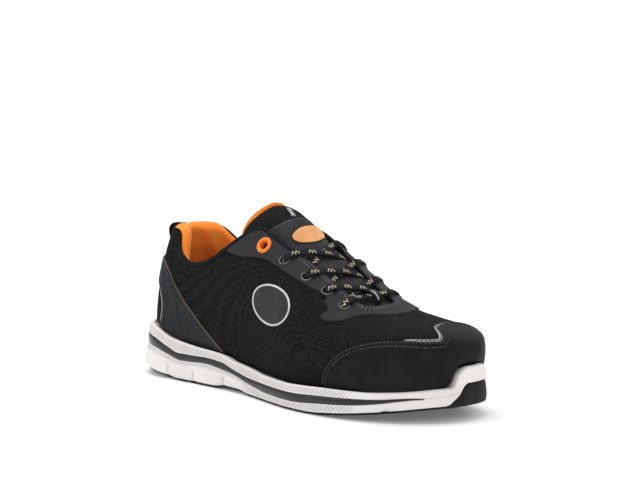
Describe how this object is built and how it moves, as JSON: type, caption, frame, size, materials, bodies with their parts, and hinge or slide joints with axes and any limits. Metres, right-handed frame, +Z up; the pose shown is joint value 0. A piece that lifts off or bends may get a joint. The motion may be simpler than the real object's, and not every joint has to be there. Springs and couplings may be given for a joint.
{
  "type": "safety shoe",
  "caption": "Low athletic safety trainer for the right foot: cupped two-part sole, textile upper with toe cap, counter and eyestay overlays, padded collar, tongue and flat laces",
  "frame": {"origin": "on the floor under the middle of the sole's length and width", "axes": "+X towards the toe, -Y towards the outer side of the right foot, +Z up"},
  "size_m": [0.302, 0.11, 0.1341],
  "materials": {
    "outsole_rubber": "black tread rubber, fine matt",
    "midsole_foam": "warm white moulded polyurethane, satin",
    "stripe_rubber": "satin black inlaid line",
    "insole_fabric": "dark grey textile",
    "upper_textile": "black woven textile with a fine raised dot",
    "toe_overlay": "near black coated microfibre, matt",
    "smooth_overlay": "charcoal microfibre, matt",
    "lining_fabric": "orange padded textile",
    "webbing": "black webbing",
    "lace_cord": "charcoal flat-oval braid with cream flecks",
    "reflective_tape": "silver grey reflective tape",
    "eyelet_metal": "gunmetal ring",
    "grommet_plastic": "orange moulded ring"
  },
  "bodies": {
    "root": {"outsole": "outsole_rubber", "midsole": "midsole_foam", "sole_stripe": "stripe_rubber", "insole": "insole_fabric", "upper": "upper_textile", "toe_cap": "toe_overlay", "heel_counter": "smooth_overlay", "eyestay": "smooth_overlay", "collar_lining": "lining_fabric", "tongue": "upper_textile", "tongue_lining": "lining_fabric", "pull_loop": "webbing", "lace_bar": "lace_cord", "lace_cross_1": "lace_cord", "lace_cross_2": "lace_cord", "lace_cross_3": "lace_cord", "lace_keeper": "reflective_tape", "eyelet_lateral_1": "eyelet_metal", "eyelet_lateral_2": "eyelet_metal", "eyelet_lateral_3": "eyelet_metal", "eyelet_lateral_4": "eyelet_metal", "eyelet_medial_1": "eyelet_metal", "eyelet_medial_2": "eyelet_metal", "eyelet_medial_3": "eyelet_metal", "eyelet_medial_4": "eyelet_metal", "grommet_lateral": "grommet_plastic", "grommet_medial": "grommet_plastic"}
  },
  "joints": []
}
